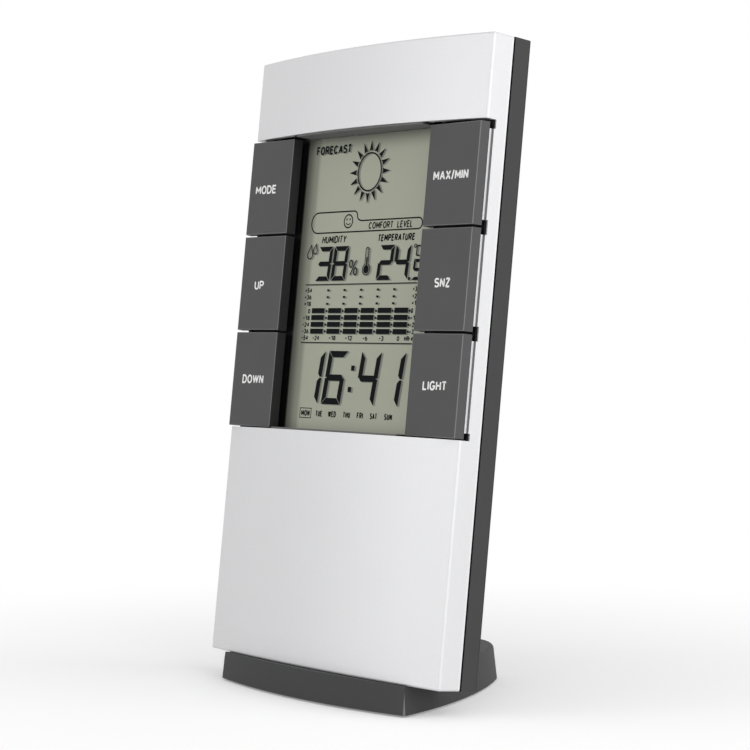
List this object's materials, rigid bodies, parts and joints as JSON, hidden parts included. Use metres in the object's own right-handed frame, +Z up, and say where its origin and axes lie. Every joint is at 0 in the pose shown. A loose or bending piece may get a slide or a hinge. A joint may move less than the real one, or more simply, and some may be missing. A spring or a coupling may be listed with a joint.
{
  "type": "thermometer hygrometer clock",
  "caption": "Leaning desk clock with thermometer and hygrometer: crowned silver case, recessed display between push keys, rear battery door, plug-in stand.",
  "frame": {"origin": "centre of the bounding box, on the surface the stand rests on", "axes": "+Z up, the display faces -Y, +X to the right of someone who reads it"},
  "size_m": [0.086, 0.0606, 0.1563],
  "materials": {
    "silver_paint": "satin silver paint on moulded plastic",
    "dark_plastic": "fine texture, dark grey",
    "bezel_plastic": "smooth dark grey",
    "key_plastic": "fine texture, dark grey",
    "stand_plastic": "satin dark grey",
    "polariser_film": "grey green anti-glare film",
    "display_glass": "clear",
    "white_film": "white",
    "clear_acrylic": "clear moulded",
    "lamp_body": "white with yellow resin",
    "contact_rubber": "pink silicone with dark stripes",
    "board_laminate": "green solder mask",
    "screw_steel": "zinc plated",
    "switch_plastic": "black",
    "plunger_plastic": "black",
    "resin": "black resin",
    "chip_body": "brown and black chips",
    "sensor_body": "white slotted body",
    "sensor_can": "tinned can",
    "bead_resin": "black bead",
    "buzzer_plastic": "black",
    "lead_jacket": "insulated wire",
    "cell_jacket": "plain jacket, bright ends",
    "contact_plate": "nickel plated",
    "foot_rubber": "black pad"
  },
  "bodies": {
    "stand": {"stand": "stand_plastic", "stand_feet": "foot_rubber"},
    "case": {"front_shell": "silver_paint", "rear_housing": "dark_plastic", "display_bezel": "bezel_plastic", "front_polariser": "polariser_film", "lcd_glass": "display_glass", "reflector_film": "white_film", "light_guide": "clear_acrylic", "backlight_leds": "lamp_body", "contact_strip": "contact_rubber", "circuit_board": "board_laminate", "board_screws": "screw_steel", "switch_housings": "switch_plastic", "controller_blob": "resin", "chip_components": "chip_body", "humidity_sensor": "sensor_body", "pressure_sensor": "sensor_can", "thermistor": "bead_resin", "buzzer": "buzzer_plastic", "buzzer_leads": "lead_jacket", "battery_cells": "cell_jacket", "terminal_contacts": "contact_plate", "bridge_contact": "contact_plate", "battery_leads": "lead_jacket", "case_screws": "screw_steel"},
    "battery_door": {"battery_door": "dark_plastic"},
    "max_min_key": {"max_min_key": "key_plastic", "max_min_plunger": "plunger_plastic"},
    "snooze_key": {"snooze_key": "key_plastic", "snooze_plunger": "plunger_plastic"},
    "light_key": {"light_key": "key_plastic", "light_plunger": "plunger_plastic"},
    "mode_key": {"mode_key": "key_plastic", "mode_plunger": "plunger_plastic"},
    "up_key": {"up_key": "key_plastic", "up_plunger": "plunger_plastic"},
    "down_key": {"down_key": "key_plastic", "down_plunger": "plunger_plastic"}
  },
  "joints": [
    {"name": "case_lift", "type": "slide", "parent": "stand", "child": "case", "axis": [0, 0.1132, 0.9936], "range_m": [0, 0.012]},
    {"name": "max_min_press", "type": "slide", "parent": "case", "child": "max_min_key", "axis": [0, 0.9936, -0.1132], "range_m": [0, 0.0008], "stiffness_N_per_m": 1500},
    {"name": "snooze_press", "type": "slide", "parent": "case", "child": "snooze_key", "axis": [0, 0.9936, -0.1132], "range_m": [0, 0.0008], "stiffness_N_per_m": 1500},
    {"name": "light_press", "type": "slide", "parent": "case", "child": "light_key", "axis": [0, 0.9936, -0.1132], "range_m": [0, 0.0008], "stiffness_N_per_m": 1500},
    {"name": "mode_press", "type": "slide", "parent": "case", "child": "mode_key", "axis": [0, 0.9936, -0.1132], "range_m": [0, 0.0008], "stiffness_N_per_m": 1500},
    {"name": "up_press", "type": "slide", "parent": "case", "child": "up_key", "axis": [0, 0.9936, -0.1132], "range_m": [0, 0.0008], "stiffness_N_per_m": 1500},
    {"name": "down_press", "type": "slide", "parent": "case", "child": "down_key", "axis": [0, 0.9936, -0.1132], "range_m": [0, 0.0008], "stiffness_N_per_m": 1500},
    {"name": "battery_door_tilt", "type": "hinge", "parent": "case", "child": "battery_door", "pos_m": [0, -0.0075, 0.02092], "axis": [-1, 0, 0], "range_deg": [0, 80]}
  ]
}
